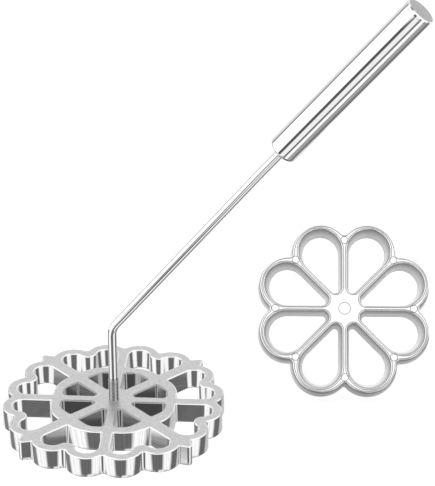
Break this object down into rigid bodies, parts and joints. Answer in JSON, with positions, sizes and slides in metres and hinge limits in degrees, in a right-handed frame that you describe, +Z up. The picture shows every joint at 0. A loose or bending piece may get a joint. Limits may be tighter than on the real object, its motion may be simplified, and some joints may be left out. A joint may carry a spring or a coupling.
{
  "type": "rosette iron",
  "caption": "Rosette iron: a pierced cast mould screwed to a bent steel rod with a tubular grip, and a loose flower-shaped mould that fits the same handle.",
  "frame": {"origin": "middle of the rosette mould's underside, on the surface it lies on", "axes": "+Z up along the thread axis, +X and +Y along the mould's spokes; the handle leans towards +X, turned 10 degrees towards -Y, and the loose mould stands at +X, +Y"},
  "size_m": [0.2074, 0.1297, 0.2246],
  "materials": {
    "machined_aluminium": "bright machined, satin top face",
    "satin_aluminium": "fine satin",
    "polished_steel": "polished stainless steel",
    "satin_steel": "satin stainless steel"
  },
  "bodies": {
    "rosette": {"rosette_mould": "machined_aluminium"},
    "screw": {"threaded_end": "polished_steel"},
    "handle": {"bent_rod": "polished_steel", "handle_tube": "polished_steel", "rod_plug": "polished_steel", "end_cap": "satin_steel"},
    "flower": {"flower_mould": "satin_aluminium"}
  },
  "joints": [
    {"name": "handle_rise", "type": "slide", "parent": "rosette", "child": "screw", "axis": [0, 0, 1], "range_m": [0, 0.0081]},
    {"name": "handle_turn", "type": "hinge", "parent": "screw", "child": "handle", "pos_m": [0, 0, 0.0105], "axis": [0, 0, 1], "range_deg": [0, 3600]},
    {"name": "flower_lift", "type": "slide", "parent": "rosette", "child": "flower", "axis": [0, 0, 1], "range_m": [0, 0.06]}
  ],
  "couplings": [
    {"joint": "handle_rise", "follows": "handle_turn", "m_per_rad": 0.00012732}
  ]
}
